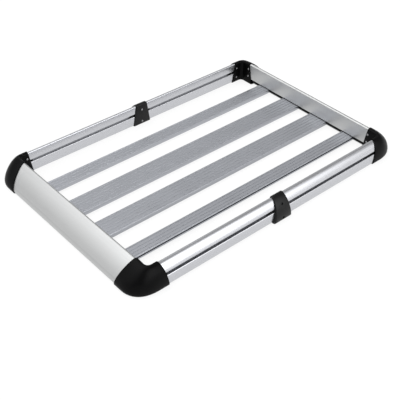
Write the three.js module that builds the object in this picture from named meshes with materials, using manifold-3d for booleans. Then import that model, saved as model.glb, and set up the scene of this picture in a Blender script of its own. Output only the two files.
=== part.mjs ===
// Roof cargo basket: two bowed end fairings with a strip in each one's channel, two tubes along each
// side, four grooved deck slats, four moulded corner elbows and a moulded bracket at the middle of each
// side, all screwed together.
// Millimetres, +Z up. +X runs forward along the basket, +Y to its left. The origin is on the ground,
// under the middle of the basket, and the elbows stand on z = 0.
import * as THREE from 'three';
import { mergeVertices } from 'three/addons/utils/BufferGeometryUtils.js';
import { ParametricGeometry } from 'three/addons/geometries/ParametricGeometry.js';
import Module from 'manifold-3d';

const wasm = await Module();
wasm.setup();

// Driving dimensions
const INNER_X = 559;            // half the length between the fairings' inner walls
const INNER_Y = 376.5;          // half the width between the rails' inner faces
const DECK_TOP = 22;            // top of the slats above the ground
const FIT_GAP = 0.3;            // clearance between pieces that touch
const SLEEVE_WALL = 3;          // wall of the moulded elbows
const EXTRUSION_WALL = 2;       // wall of the fairings and rails
const SECTION_BOTTOM = SLEEVE_WALL + FIT_GAP;

// Cross-sections: depth outward from the inner wall, and heights above the ground
const FAIRING = {
  depth: 72.5, bottom: SECTION_BOTTOM, top: 93.2, lip: 7, belly: 17, heel: 9,
  shoulder: [20, 90.5], flank: [64.5, 52],
};
const RAIL = {
  depth: 36.3, bottom: SECTION_BOTTOM, top: 88, lip: 5, belly: 18, heel: 8,
  shoulder: [16, 86.5], flank: [35, 63],
};
const BRACKET = {
  depth: 50, bottom: 0, top: 92, lip: 8, belly: 17, heel: 9,
  shoulder: [20, 91.5], flank: [48.5, 64],
};
const INNER_EDGE = 2.5;         // bevel along the edges of a section's inner wall
const FACE_STEPS = 8;           // straight pieces in the long bowed face of a section
const CORNER_STEPS = 2;         // straight pieces in each rounded edge of a section

// Fairings
const FAIRING_HALF = 342;       // half length; each end is inside an elbow
const WALL_FOOT = DECK_TOP + 2.5; // lower edge of the inner wall, just above the slats
const FAIRING_WEB = DECK_TOP + 4.5; // underside of the web that closes the upper cell
const FLANGE_SETBACK = 10;      // how far the bottom flange starts behind the inner wall

// Strips that close the fairings' channels between the slats
const STRIP_DEPTH = 3;
const STRIP_HALF = 340;
const STRIP_FOOT = DECK_TOP - 6;
const STRIP_BAR_FOOT = DECK_TOP + 2.2;  // clear of a thin panel that lies on the slats

// Side rails
const RAIL_HALF = 545;
const LOWER_TUBE_TOP = 43.8;
const UPPER_TUBE_FOOT = 53.8;
const TUBE_EDGE = 3;            // rounding where the two tubes face each other

// Slats
const SLAT_HALF = 599;          // half length; each end reaches 40 mm into a fairing
const SLAT_FOOT = SECTION_BOTTOM + EXTRUSION_WALL + FIT_GAP;
const SLAT_WALL = 1.6;
const SLAT_CORNER = 1.5;
const GROOVE_WIDTH = 2.4;
const GROOVE_DEPTH = 1;
const SLOT = { low: 12.4, high: 18.4, depth: 9 }; // accessory slot along an outer slat's outboard side
const SLATS = [
  { name: 'outer', middle: 233.3, width: 55.4, grooves: 4, slotted: true },
  { name: 'inner', middle: 77.6, width: 86.8, grooves: 6, slotted: false },
];

// Elbows: where the corner starts to turn, and its sloping sleeve ends
const TURN_X = 537.5;
const TURN_Y = 332;
const INNER_BEND = 16;          // plan radius of the inner wall's corner
const OUTER_POWER = 2.4;        // 2 would be a plain ellipse; more is fuller
const TURN_STEPS = 8;
const RAIL_MOUTH = 518.5;       // x of the sleeve end at the inner wall's top
const FAIRING_MOUTH = 326.5;    // y of the other sleeve end at the inner wall's top
const MOUTH_TOP = 90;
const MOUTH_RAKE = 0.16;        // how much further each sleeve reaches per mm down
const MOUTH_SWEEP = 0.15;       // and per mm outward
const CORE_REACH = 50;          // how far the hollow is cut past both sleeve ends

// Mid-rail brackets
const BRACKET_INNER = 3.3;      // how far the inner wall stands inside the rail face
const BRACKET_X = 4;            // the brackets sit a little forward of the middle
const BRACKET_HALF_TOP = 27;
const BRACKET_HALF_FOOT = 42;
const BRACKET_EDGE = 3.5;       // bevel round the ends of the outer face
const COUNTERBORE = 4.6;        // radius of the recess over each outer screw
const COUNTERBORE_FLOOR = 4;    // plastic left between the recess and the tube

// Webs that lie between the two tubes inside elbows and brackets
const TONGUE_REACH = 10;        // how far a web sticks out of its sleeve
const TONGUE_INSET = 3;         // how far it is set back from the tubes' faces

// Screws
const SHANK_RADIUS = 2.2;
const HOLE_RADIUS = SHANK_RADIUS + FIT_GAP;
const SCREW_SIDES = 8;
const DRILL_CLEAR = 6;          // how far a hole's drill runs past the walls it goes through
const PAN = { radius: 4, height: 2.4, length: 13 };
const LOW_PAN = { radius: 3.8, height: 1.8, length: 9 };
const ELBOW_RAIL_SCREW_X = 526;
const ELBOW_RAIL_SCREW_Z = [24, 66];
const ELBOW_FAIRING_SCREW_Y = 331;
const ELBOW_FAIRING_SCREW_Z = [37, 70];
const BRACKET_SCREW_Z = [13, 66];
const SLAT_SCREW_X = 582;
const SLAT_SCREW_SPREAD = 0.22; // offset of the two end screws, as a share of the slat's width

const AXIS_X = new THREE.Vector3(1, 0, 0);
const AXIS_Y = new THREE.Vector3(0, 1, 0);
const AXIS_Z = new THREE.Vector3(0, 0, 1);
const SIDES = [{ name: 'left', sign: 1 }, { name: 'right', sign: -1 }];
const ENDS = [{ name: 'front', sign: 1 }, { name: 'rear', sign: -1 }];

// ---- Solids -------------------------------------------------------------------------------

function signedVolume(positions, triangles) {
  const corner = [0, 1, 2].map(() => new THREE.Vector3());
  let sum = 0;
  for (let i = 0; i < triangles.length; i += 3) {
    corner.forEach((c, k) => c.fromArray(positions, 3 * triangles[i + k]));
    sum += corner[0].dot(corner[1].cross(corner[2]));
  }
  return sum / 6;
}

// A closed geometry as a manifold solid whose faces point out.
function toSolid(geometry) {
  const bare = geometry.clone();
  bare.deleteAttribute('normal');
  bare.deleteAttribute('uv');
  const merged = mergeVertices(bare, 1e-3);
  const index = merged.index.array;
  const kept = [];
  for (let i = 0; i < index.length; i += 3) {
    const [a, b, c] = [index[i], index[i + 1], index[i + 2]];
    if (a !== b && b !== c && c !== a) kept.push(a, b, c);
  }
  const vertProperties = new Float32Array(merged.attributes.position.array);
  if (signedVolume(vertProperties, kept) < 0) kept.reverse();
  const triVerts = new Uint32Array(kept);
  return new wasm.Manifold(new wasm.Mesh({ numProp: 3, vertProperties, triVerts }));
}

function toGeometry(solid) {
  const mesh = solid.getMesh();
  const geometry = new THREE.BufferGeometry();
  geometry.setAttribute('position', new THREE.BufferAttribute(mesh.vertProperties, 3));
  geometry.setIndex(new THREE.BufferAttribute(mesh.triVerts, 1));
  geometry.computeVertexNormals();
  return geometry;
}

// The same solid on the other side of the basket: signs are +1 or -1 along x and y.
function mirrored(solid, signX, signY) {
  const geometry = toGeometry(solid);
  geometry.scale(signX, signY, 1);
  return toSolid(geometry);
}

function block(low, high) {
  const size = new THREE.Vector3().subVectors(high, low);
  const geometry = new THREE.BoxGeometry(size.x, size.y, size.z);
  geometry.translate((low.x + high.x) / 2, (low.y + high.y) / 2, (low.z + high.z) / 2);
  return toSolid(geometry);
}

// A round drill through `at`, from `back` behind it to `ahead` in front of it along `direction`.
function drill(at, direction, radius, back, ahead) {
  const geometry = new THREE.CylinderGeometry(radius, radius, back + ahead, SCREW_SIDES);
  geometry.translate(0, (ahead - back) / 2, 0);
  geometry.applyQuaternion(new THREE.Quaternion().setFromUnitVectors(AXIS_Y, direction));
  geometry.translate(at.x, at.y, at.z);
  return toSolid(geometry);
}

// ---- Cross-sections -----------------------------------------------------------------------

// Points round a corner of radius r between two neighbours.
function roundedCorner(before, corner, after, r, steps) {
  const start = before.clone().sub(corner).setLength(r).add(corner);
  const end = after.clone().sub(corner).setLength(r).add(corner);
  return new THREE.QuadraticBezierCurve(start, corner, end).getPoints(steps);
}

function bowedFace(section) {
  return new THREE.CubicBezierCurve(
    new THREE.Vector2(section.lip, section.top),
    new THREE.Vector2(...section.shoulder),
    new THREE.Vector2(...section.flank),
    new THREE.Vector2(section.depth, section.belly),
  );
}

// Outline of a bowed section as (depth, height) points: flat inner wall, rounded lip,
// long bowed outer face, rounded heel and flat bottom.
function bowedOutline(section) {
  const foot = new THREE.Vector2(0, section.bottom);
  const topCorner = new THREE.Vector2(0, section.top);
  const crest = new THREE.Vector2(section.lip, section.top);
  const belly = new THREE.Vector2(section.depth, section.belly);
  const heelCorner = new THREE.Vector2(section.depth, section.bottom);
  return [
    ...roundedCorner(heelCorner, foot, topCorner, INNER_EDGE, 1),
    ...roundedCorner(foot, topCorner, crest, section.lip, CORNER_STEPS),
    ...bowedFace(section).getPoints(FACE_STEPS).slice(1),
    ...roundedCorner(belly, heelCorner, foot, section.heel, CORNER_STEPS),
  ];
}

// An outline moved outward by `distance`, or inward where it is negative.
function offsetOutline(points, distance) {
  return points.map((point, i) => {
    const before = points[(i + points.length - 1) % points.length];
    const after = points[(i + 1) % points.length];
    const a = point.clone().sub(before).normalize();
    const b = after.clone().sub(point).normalize();
    const normal = new THREE.Vector2(-a.y - b.y, a.x + b.x).normalize();
    const spread = Math.max(0.5, normal.dot(new THREE.Vector2(-a.y, a.x)));
    return point.clone().addScaledVector(normal, distance / spread);
  });
}

// Height band of the rail section that one tube takes, with its facing edge rounded.
function tubeOutline(low, high) {
  const outline = bowedOutline(RAIL);
  const isUpper = low > RAIL.bottom;
  const cut = isUpper ? low : high;
  const outer = faceAtHeight(outline, cut);
  const inner = new THREE.Vector2(0, cut);
  const clear = (p) => p.y >= low && p.y <= high && p.distanceTo(outer) > TUBE_EDGE + 1;
  const inside = outline.filter(clear);
  if (isUpper) {
    const last = inside[inside.length - 1];
    return [
      ...roundedCorner(outer, inner, inside[0], INNER_EDGE, 1),
      ...inside,
      ...roundedCorner(last, outer, inner, TUBE_EDGE, 2),
    ];
  }
  const foot = inside.slice(0, 2);
  const heel = inside.slice(2);
  return [
    ...foot,
    ...roundedCorner(foot[1], inner, outer, INNER_EDGE, 1),
    ...roundedCorner(inner, outer, heel[0], TUBE_EDGE, 2),
    ...heel,
  ];
}

// Fairing section: a closed upper cell, and below it a channel open to the deck for the slats.
function fairingShape() {
  const outer = bowedOutline(FAIRING);
  const inner = offsetOutline(outer, -EXTRUSION_WALL);
  const lift = (points, low, high) => points.filter((p) => p.y > low && p.y < high);
  const cell = [
    new THREE.Vector2(EXTRUSION_WALL, FAIRING_WEB + EXTRUSION_WALL),
    ...lift(inner, FAIRING_WEB + EXTRUSION_WALL, FAIRING.top),
    faceAtHeight(inner, FAIRING_WEB + EXTRUSION_WALL),
  ];
  const floor = SECTION_BOTTOM + EXTRUSION_WALL;
  const channel = [
    new THREE.Vector2(-1, SECTION_BOTTOM - 1),
    new THREE.Vector2(-1, WALL_FOOT),
    new THREE.Vector2(EXTRUSION_WALL, WALL_FOOT),
    new THREE.Vector2(EXTRUSION_WALL, FAIRING_WEB),
    faceAtHeight(inner, FAIRING_WEB),
    ...lift(inner.slice(2), floor + 0.01, FAIRING_WEB),
    new THREE.Vector2(FAIRING.depth - FAIRING.heel, floor),
    new THREE.Vector2(FLANGE_SETBACK, floor),
    new THREE.Vector2(FLANGE_SETBACK, SECTION_BOTTOM - 1),
  ];
  return { outer, cell, channel };
}

// Point of an outline's outer side at a given height.
function faceAtHeight(points, height) {
  for (let i = 1; i < points.length; i += 1) {
    const above = points[i - 1];
    const below = points[i];
    if (above.y > height && below.y <= height) {
      return above.clone().lerp(below, (above.y - height) / (above.y - below.y));
    }
  }
  throw new Error('height outside the outline');
}

function slatOutline(slat) {
  const half = slat.width / 2;
  const pitch = slat.width / slat.grooves;
  const points = [[half, SLAT_FOOT + SLAT_CORNER]];
  if (slat.slotted) {
    const back = half - SLOT.depth;
    points.push([half, SLOT.low], [back, SLOT.low], [back, SLOT.high], [half, SLOT.high]);
  }
  points.push([half, DECK_TOP - SLAT_CORNER], [half - SLAT_CORNER, DECK_TOP]);
  for (let i = 0; i < slat.grooves; i += 1) {
    const middle = half - pitch * (i + 0.5);
    const floorHalf = GROOVE_WIDTH / 2 - GROOVE_DEPTH / 2;
    points.push([middle + GROOVE_WIDTH / 2, DECK_TOP], [middle + floorHalf, DECK_TOP - GROOVE_DEPTH]);
    points.push([middle - floorHalf, DECK_TOP - GROOVE_DEPTH], [middle - GROOVE_WIDTH / 2, DECK_TOP]);
  }
  points.push([SLAT_CORNER - half, DECK_TOP], [-half, DECK_TOP - SLAT_CORNER]);
  points.push([-half, SLAT_FOOT + SLAT_CORNER], [SLAT_CORNER - half, SLAT_FOOT]);
  points.push([half - SLAT_CORNER, SLAT_FOOT]);
  return points.map(([a, b]) => new THREE.Vector2(a, b));
}

// Rectangular cells inside a slat, separated by upright webs.
function slatCells(slat) {
  const first = SLAT_WALL - slat.width / 2;
  const last = slat.width / 2 - (slat.slotted ? SLOT.depth : 0);
  const pitch = (last - first) / slat.grooves;
  const low = SLAT_FOOT + SLAT_WALL;
  const high = DECK_TOP - GROOVE_DEPTH - SLAT_WALL;
  return Array.from({ length: slat.grooves }, (_, i) => {
    const left = first + pitch * i;
    const right = left + pitch - SLAT_WALL;
    return [[left, low], [right, low], [right, high], [left, high]].map((p) => new THREE.Vector2(...p));
  });
}

// Extrusion of an outline along z, from -half to +half.
function bar(points, half) {
  const options = { depth: 2 * half, bevelEnabled: false };
  const geometry = new THREE.ExtrudeGeometry(new THREE.Shape(points), options);
  return geometry.translate(0, 0, -half);
}

// Extrusion along x of an outline in (y, z).
function alongX(points, half) {
  const geometry = bar(points, half);
  const turn = new THREE.Matrix4().makeBasis(AXIS_Y, AXIS_Z, AXIS_X);
  geometry.applyMatrix4(turn);
  return toSolid(geometry);
}

// The same along y, for an outline in (x, z).
function alongY(points, half) {
  const geometry = bar(points, half);
  const turn = new THREE.Matrix4().makeBasis(AXIS_X, AXIS_Z, AXIS_Y.clone().negate());
  geometry.applyMatrix4(turn);
  return toSolid(geometry);
}

// A closed skin over rings of equal length; the first and last ring are filled with a fan.
function skin(rings) {
  const middle = (ring) => ring.reduce((sum, p) => sum.add(p), new THREE.Vector3()).divideScalar(ring.length);
  const first = middle(rings[0]);
  const last = middle(rings[rings.length - 1]);
  const rows = [rings[0].map(() => first), ...rings, rings[0].map(() => last)];
  const around = rings[0].length;
  const surface = (u, v, target) => {
    const row = rows[Math.round(u * (rows.length - 1))];
    target.copy(row[Math.round(v * around) % around]);
  };
  return toSolid(new ParametricGeometry(surface, rows.length - 1, around));
}

// ---- Pieces -------------------------------------------------------------------------------

function buildFairing() {
  const { outer, cell, channel } = fairingShape();
  const place = (points) => points.map((p) => new THREE.Vector2(INNER_X + p.x, p.y));
  let solid = alongY(place(outer), FAIRING_HALF);
  solid = solid.subtract(alongY(place(cell), FAIRING_HALF + 1));
  solid = solid.subtract(alongY(place(channel), FAIRING_HALF + 1));
  for (const y of [-ELBOW_FAIRING_SCREW_Y, ELBOW_FAIRING_SCREW_Y]) {
    for (const z of ELBOW_FAIRING_SCREW_Z) {
      const at = new THREE.Vector3(INNER_X, y, z);
      solid = solid.subtract(drill(at, AXIS_X, HOLE_RADIUS, DRILL_CLEAR, DRILL_CLEAR));
    }
  }
  for (const at of slatScrewPlaces()) {
    solid = solid.subtract(drill(at, AXIS_Z, HOLE_RADIUS, DRILL_CLEAR, DRILL_CLEAR));
  }
  return solid;
}

// Places of the screws under one end of the deck.
function slatScrewPlaces() {
  const places = [];
  for (const slat of SLATS) {
    for (const side of SIDES) {
      for (const step of [-1, 1]) {
        const y = side.sign * slat.middle + step * SLAT_SCREW_SPREAD * slat.width;
        places.push(new THREE.Vector3(SLAT_SCREW_X, y, SECTION_BOTTOM));
      }
    }
  }
  return places;
}

// A comb behind the foot of the fairing's inner wall: a bar over the slats, and teeth between them.
function buildStrip() {
  const nearX = INNER_X + EXTRUSION_WALL + FIT_GAP;
  const top = FAIRING_WEB - FIT_GAP;
  const edges = SLATS.flatMap((slat) => SIDES.flatMap((side) => [-0.5, 0.5].map((share) => (
    side.sign * slat.middle + share * slat.width + Math.sign(share) * FIT_GAP
  )))).sort((a, b) => a - b);
  const stops = [-STRIP_HALF, ...edges, STRIP_HALF];
  let solid = block(
    new THREE.Vector3(nearX, -STRIP_HALF, STRIP_BAR_FOOT),
    new THREE.Vector3(nearX + STRIP_DEPTH, STRIP_HALF, top),
  );
  for (let i = 0; i < stops.length; i += 2) {
    solid = solid.add(block(
      new THREE.Vector3(nearX, stops[i], STRIP_FOOT),
      new THREE.Vector3(nearX + STRIP_DEPTH, stops[i + 1], top),
    ));
  }
  return solid;
}

function buildTube(low, high, screwIndex) {
  const outline = tubeOutline(low, high);
  const place = (points) => points.map((p) => new THREE.Vector2(INNER_Y + p.x, p.y));
  const bore = offsetOutline(outline, -EXTRUSION_WALL);
  let solid = alongX(place(outline), RAIL_HALF).subtract(alongX(place(bore), RAIL_HALF + 1));
  for (const x of [-ELBOW_RAIL_SCREW_X, ELBOW_RAIL_SCREW_X]) {
    const at = new THREE.Vector3(x, INNER_Y, ELBOW_RAIL_SCREW_Z[screwIndex]);
    solid = solid.subtract(drill(at, AXIS_Y, HOLE_RADIUS, DRILL_CLEAR, DRILL_CLEAR));
  }
  const at = new THREE.Vector3(BRACKET_X, INNER_Y, BRACKET_SCREW_Z[screwIndex]);
  return solid.subtract(drill(at, AXIS_Y, HOLE_RADIUS, DRILL_CLEAR, RAIL.depth + DRILL_CLEAR));
}

function buildSlat(slat) {
  let solid = alongX(slatOutline(slat), SLAT_HALF);
  for (const cell of slatCells(slat)) {
    solid = solid.subtract(alongX(cell, SLAT_HALF + 1));
  }
  for (const x of [-SLAT_SCREW_X, SLAT_SCREW_X]) {
    for (const step of [-1, 1]) {
      const at = new THREE.Vector3(x, step * SLAT_SCREW_SPREAD * slat.width, SLAT_FOOT);
      solid = solid.subtract(drill(at, AXIS_Z, HOLE_RADIUS, DRILL_CLEAR, LOW_PAN.length));
    }
  }
  return solid;
}

// Plan position of the inner and outer walls of the corner at turn t: 0 at the rail, 1 at the fairing.
function cornerPlan(t) {
  const angle = t * Math.PI / 2;
  const railDepth = INNER_Y + RAIL.depth - TURN_Y;
  const fairingDepth = INNER_X + FAIRING.depth - TURN_X;
  const outer = new THREE.Vector2(
    TURN_X + fairingDepth * Math.sin(angle) ** (2 / OUTER_POWER),
    TURN_Y + railDepth * Math.max(0, Math.cos(angle)) ** (2 / OUTER_POWER),
  );
  const bend = new THREE.Path();
  bend.moveTo(TURN_X, INNER_Y);
  bend.absarc(INNER_X - INNER_BEND, INNER_Y - INNER_BEND, INNER_BEND, Math.PI / 2, 0, true);
  bend.lineTo(INNER_X, TURN_Y);
  return { inner: bend.getPointAt(t), outer };
}

// Rings of the corner's skin, grown by `grow`; each sleeve end is placed by its mouth function.
function cornerRings(grow, railMouth, fairingMouth) {
  const rail = offsetOutline(bowedOutline(RAIL), grow);
  const fairing = offsetOutline(bowedOutline(FAIRING), grow);
  const rings = [rail.map((p) => new THREE.Vector3(railMouth(p), INNER_Y + p.x, p.y))];
  for (let i = 0; i <= TURN_STEPS; i += 1) {
    const t = i / TURN_STEPS;
    const { inner, outer } = cornerPlan(t);
    const depth = THREE.MathUtils.lerp(RAIL.depth, FAIRING.depth, t);
    rings.push(rail.map((p, k) => {
      const point = p.clone().lerp(fairing[k], t);
      const plan = inner.clone().lerp(outer, point.x / depth);
      return new THREE.Vector3(plan.x, plan.y, point.y);
    }));
  }
  rings.push(fairing.map((p) => new THREE.Vector3(INNER_X + p.x, fairingMouth(p), p.y)));
  return rings;
}

// Room for the whole rail section, and for the whole fairing section.
function sectionAlongX(section, half) {
  const outline = offsetOutline(bowedOutline(section), FIT_GAP);
  return alongX(outline.map((p) => new THREE.Vector2(INNER_Y + p.x, p.y)), half);
}

function sectionAlongY(section, half) {
  const outline = offsetOutline(bowedOutline(section), FIT_GAP);
  return alongY(outline.map((p) => new THREE.Vector2(INNER_X + p.x, p.y)), half);
}

function buildElbow() {
  const slope = (p) => MOUTH_RAKE * (MOUTH_TOP - p.y) + MOUTH_SWEEP * Math.max(0, p.x);
  const grow = FIT_GAP + SLEEVE_WALL;
  const shell = skin(cornerRings(grow, (p) => RAIL_MOUTH - slope(p), (p) => FAIRING_MOUTH - slope(p)));
  const core = skin(cornerRings(FIT_GAP, () => RAIL_MOUTH - CORE_REACH, () => FAIRING_MOUTH - CORE_REACH));
  const cavity = core.add(sectionAlongX(RAIL, RAIL_HALF + 1)).add(sectionAlongY(FAIRING, FAIRING_HALF + 1));
  const webLow = LOWER_TUBE_TOP + FIT_GAP;
  const webHigh = UPPER_TUBE_FOOT - FIT_GAP;
  const mouth = RAIL_MOUTH - MOUTH_RAKE * (MOUTH_TOP - webLow);
  const web = block(
    new THREE.Vector3(mouth, INNER_Y - grow, webLow),
    new THREE.Vector3(RAIL_HALF, INNER_Y + RAIL.depth, webHigh),
  );
  const tongue = block(
    new THREE.Vector3(mouth - TONGUE_REACH, INNER_Y + TONGUE_INSET, webLow),
    new THREE.Vector3(mouth + 1, INNER_Y + RAIL.depth - 2 * TONGUE_INSET, webHigh),
  );
  let solid = shell.subtract(cavity).add(web.intersect(shell)).add(tongue);
  for (const z of ELBOW_RAIL_SCREW_Z) {
    const at = new THREE.Vector3(ELBOW_RAIL_SCREW_X, INNER_Y, z);
    solid = solid.subtract(drill(at, AXIS_Y, HOLE_RADIUS, DRILL_CLEAR, DRILL_CLEAR));
  }
  for (const z of ELBOW_FAIRING_SCREW_Z) {
    const at = new THREE.Vector3(INNER_X, ELBOW_FAIRING_SCREW_Y, z);
    solid = solid.subtract(drill(at, AXIS_X, HOLE_RADIUS, DRILL_CLEAR, DRILL_CLEAR));
  }
  return solid;
}

function buildBracket() {
  const outline = bowedOutline(BRACKET);
  const halfLength = (z) => THREE.MathUtils.lerp(BRACKET_HALF_FOOT, BRACKET_HALF_TOP, z / BRACKET.top);
  const face = INNER_Y - BRACKET_INNER;
  const ring = (points, sign, setback) => points.map((p) => (
    new THREE.Vector3(BRACKET_X + sign * (halfLength(p.y) - setback), face + p.x, p.y)
  ));
  const bevelled = offsetOutline(outline, -BRACKET_EDGE / 2);
  const body = skin([
    ring(bevelled, -1, 0),
    ring(outline, -1, BRACKET_EDGE),
    ring(outline, 1, BRACKET_EDGE),
    ring(bevelled, 1, 0),
  ]);
  const bore = sectionAlongX(RAIL, 2 * BRACKET_HALF_FOOT);
  const webLow = LOWER_TUBE_TOP + FIT_GAP;
  const webHigh = UPPER_TUBE_FOOT - FIT_GAP;
  const half = halfLength(webLow);
  const web = block(
    new THREE.Vector3(BRACKET_X - half, face, webLow),
    new THREE.Vector3(BRACKET_X + half, INNER_Y + RAIL.depth, webHigh),
  );
  const reach = half + TONGUE_REACH;
  const tongue = block(
    new THREE.Vector3(BRACKET_X - reach, INNER_Y + TONGUE_INSET, webLow),
    new THREE.Vector3(BRACKET_X + reach, INNER_Y + RAIL.depth - 2 * TONGUE_INSET, webHigh),
  );
  let solid = body.subtract(bore).add(web.intersect(body)).add(tongue);
  for (const z of BRACKET_SCREW_Z) {
    const inner = new THREE.Vector3(BRACKET_X, INNER_Y, z);
    const floor = new THREE.Vector3(BRACKET_X, outerScrewSeat(z), z);
    solid = solid.subtract(drill(inner, AXIS_Y, HOLE_RADIUS, DRILL_CLEAR, BRACKET.depth + DRILL_CLEAR));
    solid = solid.subtract(drill(floor, AXIS_Y, COUNTERBORE, 0, BRACKET.depth));
  }
  return solid;
}

// y of the counterbore floor under an outer bracket screw.
function outerScrewSeat(z) {
  return INNER_Y + faceAtHeight(bowedOutline(RAIL), z).x + COUNTERBORE_FLOOR;
}

// A screw as a turned solid: the head's underside is at the origin and the shank points along -z.
function screwGeometry(kind) {
  const profile = [
    [0, -kind.length], [SHANK_RADIUS * 0.9, -kind.length], [SHANK_RADIUS, -kind.length + 1],
    [SHANK_RADIUS, 0], [kind.radius, 0], [kind.radius * 0.78, kind.height], [0, kind.height],
  ];
  const geometry = new THREE.LatheGeometry(profile.map((p) => new THREE.Vector2(...p)), SCREW_SIDES);
  geometry.rotateX(Math.PI / 2);
  return toGeometry(toSolid(geometry));
}

// ---- Materials ----------------------------------------------------------------------------

function metal(color, roughness) {
  return new THREE.MeshStandardMaterial({ color, roughness, metalness: 1 });
}

function plastic(color, roughness) {
  return new THREE.MeshStandardMaterial({ color, roughness, metalness: 0 });
}

// ---- Assembly -----------------------------------------------------------------------------

const basket = new THREE.Group();

function addPiece(name, geometry, material) {
  const mesh = new THREE.Mesh(geometry, material);
  mesh.name = name;
  basket.add(mesh);
  return mesh;
}

// Places a screw with its head's underside at `at` and its head towards `headwards`.
function addScrew(name, kind, at, headwards) {
  const mesh = addPiece(name, screwGeometry(kind), metal(0x9a9da1, 0.35));
  mesh.position.copy(at);
  mesh.quaternion.setFromUnitVectors(AXIS_Z, headwards);
}

function addFairings() {
  const fairing = buildFairing();
  for (const end of ENDS) {
    addPiece(`fairing_${end.name}`, toGeometry(mirrored(fairing, end.sign, 1)), metal(0xc9ccd0, 0.32));
  }
}

function addStrips() {
  const strip = buildStrip();
  for (const end of ENDS) {
    addPiece(`strip_${end.name}`, toGeometry(mirrored(strip, end.sign, 1)), plastic(0x141416, 0.6));
  }
}

function addRails() {
  const lower = buildTube(RAIL.bottom, LOWER_TUBE_TOP, 0);
  const upper = buildTube(UPPER_TUBE_FOOT, RAIL.top, 1);
  for (const side of SIDES) {
    addPiece(`rail_lower_${side.name}`, toGeometry(mirrored(lower, 1, side.sign)), metal(0xc2c5ca, 0.36));
    addPiece(`rail_upper_${side.name}`, toGeometry(mirrored(upper, 1, side.sign)), metal(0xc2c5ca, 0.36));
  }
}

function addSlats() {
  for (const slat of SLATS) {
    const solid = buildSlat(slat);
    for (const side of SIDES) {
      const geometry = toGeometry(mirrored(solid, 1, side.sign));
      const mesh = addPiece(`slat_${slat.name}_${side.name}`, geometry, metal(0xa3a6ab, 0.42));
      mesh.position.y = side.sign * slat.middle;
    }
  }
}

function addElbows() {
  const elbow = buildElbow();
  for (const end of ENDS) {
    for (const side of SIDES) {
      const corner = `${end.name}_${side.name}`;
      const solid = mirrored(elbow, end.sign, side.sign);
      addPiece(`elbow_${corner}`, toGeometry(solid), plastic(0x17171a, 0.4));
      addElbowScrews(corner, end.sign, side.sign);
    }
  }
}

// The head of an elbow screw sits just off the elbow's inner wall.
function addElbowScrews(corner, signX, signY) {
  const lengthways = AXIS_X.clone().multiplyScalar(-signX);
  const inward = AXIS_Y.clone().multiplyScalar(-signY);
  const seat = SLEEVE_WALL + 2 * FIT_GAP;
  const heights = ['lower', 'upper'];
  heights.forEach((height, i) => {
    const onRail = new THREE.Vector3(
      signX * ELBOW_RAIL_SCREW_X, signY * (INNER_Y - seat), ELBOW_RAIL_SCREW_Z[i],
    );
    addScrew(`screw_elbow_${corner}_rail_${height}`, PAN, onRail, inward);
    const onFairing = new THREE.Vector3(
      signX * (INNER_X - seat), signY * ELBOW_FAIRING_SCREW_Y, ELBOW_FAIRING_SCREW_Z[i],
    );
    addScrew(`screw_elbow_${corner}_fairing_${height}`, PAN, onFairing, lengthways);
  });
}

function addBrackets() {
  const bracket = buildBracket();
  for (const side of SIDES) {
    const inward = AXIS_Y.clone().multiplyScalar(-side.sign);
    addPiece(`bracket_${side.name}`, toGeometry(mirrored(bracket, 1, side.sign)), plastic(0x1b1b1f, 0.45));
    ['lower', 'upper'].forEach((height, i) => {
      const z = BRACKET_SCREW_Z[i];
      const inner = new THREE.Vector3(BRACKET_X, side.sign * (INNER_Y - BRACKET_INNER - FIT_GAP), z);
      const outer = new THREE.Vector3(BRACKET_X, side.sign * (outerScrewSeat(z) + FIT_GAP), z);
      addScrew(`screw_bracket_inner_${side.name}_${height}`, PAN, inner, inward);
      addScrew(`screw_bracket_outer_${side.name}_${height}`, PAN, outer, inward.clone().negate());
    });
  }
}

function addSlatScrews() {
  const down = AXIS_Z.clone().negate();
  for (const end of ENDS) {
    slatScrewPlaces().forEach((place, i) => {
      const at = place.clone();
      at.x *= end.sign;
      at.z -= FIT_GAP;
      addScrew(`screw_slat_${end.name}_${i + 1}`, LOW_PAN, at, down);
    });
  }
}

addFairings();
addStrips();
addRails();
addSlats();
addElbows();
addBrackets();
addSlatScrews();

export default basket;
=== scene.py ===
"""Looks of a roof cargo basket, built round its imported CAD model: two bowed end fairings, two tubes
along each side, four grooved deck slats, moulded corner elbows and mid-rail brackets, a strip behind
each fairing, and screws.

Outlines and solids are worked out in millimetres and scaled to metres as each mesh is made.
"""
import math

import bmesh
import bpy
from mathutils import Euler, Matrix, Vector
from mathutils.geometry import tessellate_polygon


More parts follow.
